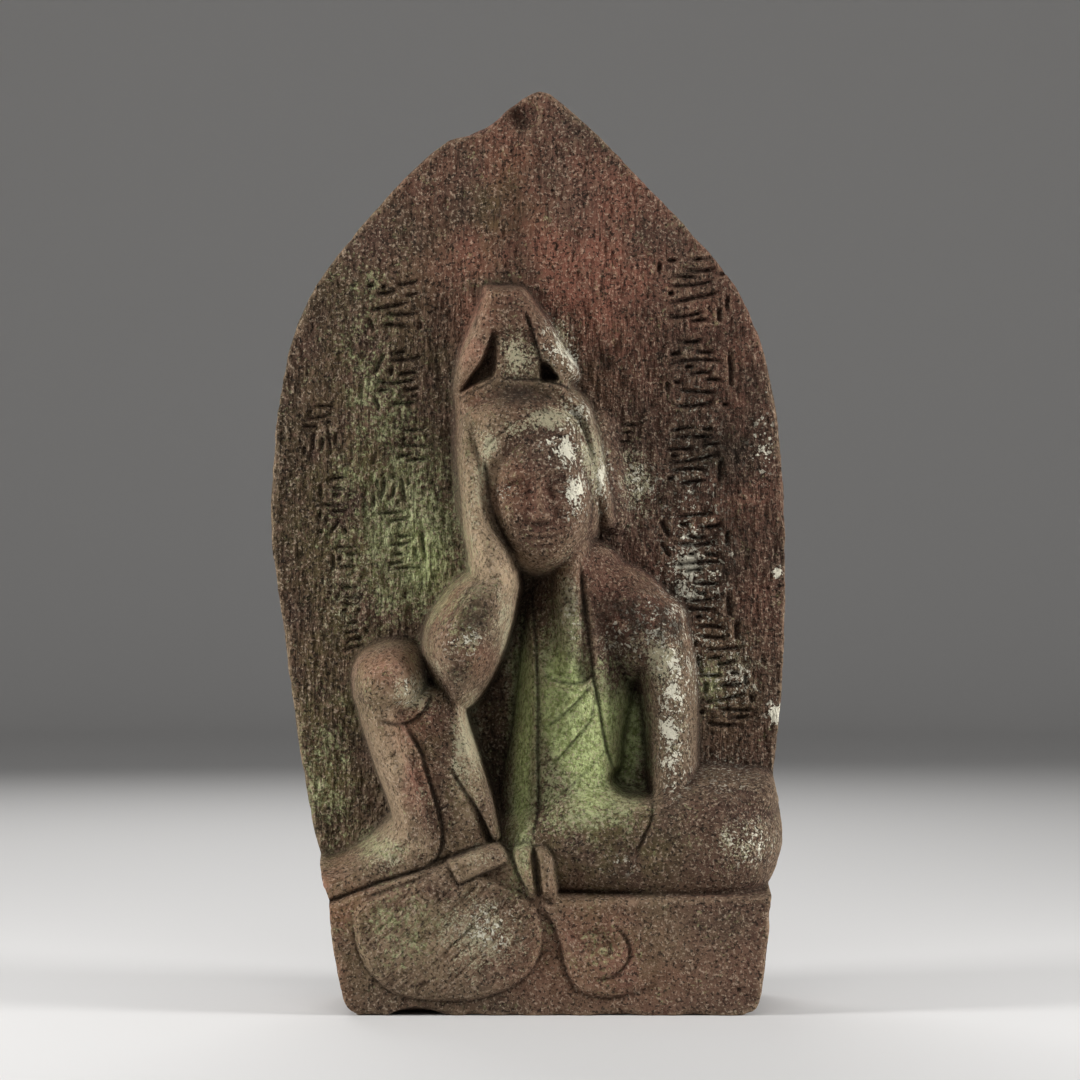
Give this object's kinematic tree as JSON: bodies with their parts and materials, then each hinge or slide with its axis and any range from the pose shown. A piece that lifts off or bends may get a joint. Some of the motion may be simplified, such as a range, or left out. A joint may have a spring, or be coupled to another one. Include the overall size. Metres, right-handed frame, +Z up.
{
  "type": "kannon stele",
  "caption": "Boat-shaped stone stele with a seated Kannon, cheek on hand, carved in deep relief, standing on its own base.",
  "frame": {"origin": "middle of the stele's width and depth, at the level of its underside", "axes": "+Z up, +X to the right as the figure is looked at, the figure looks towards -Y"},
  "size_m": [0.3993, 0.191, 0.7011],
  "materials": {
    "stone": "matte"
  },
  "bodies": {
    "root": {"stele": "stone"}
  },
  "joints": []
}
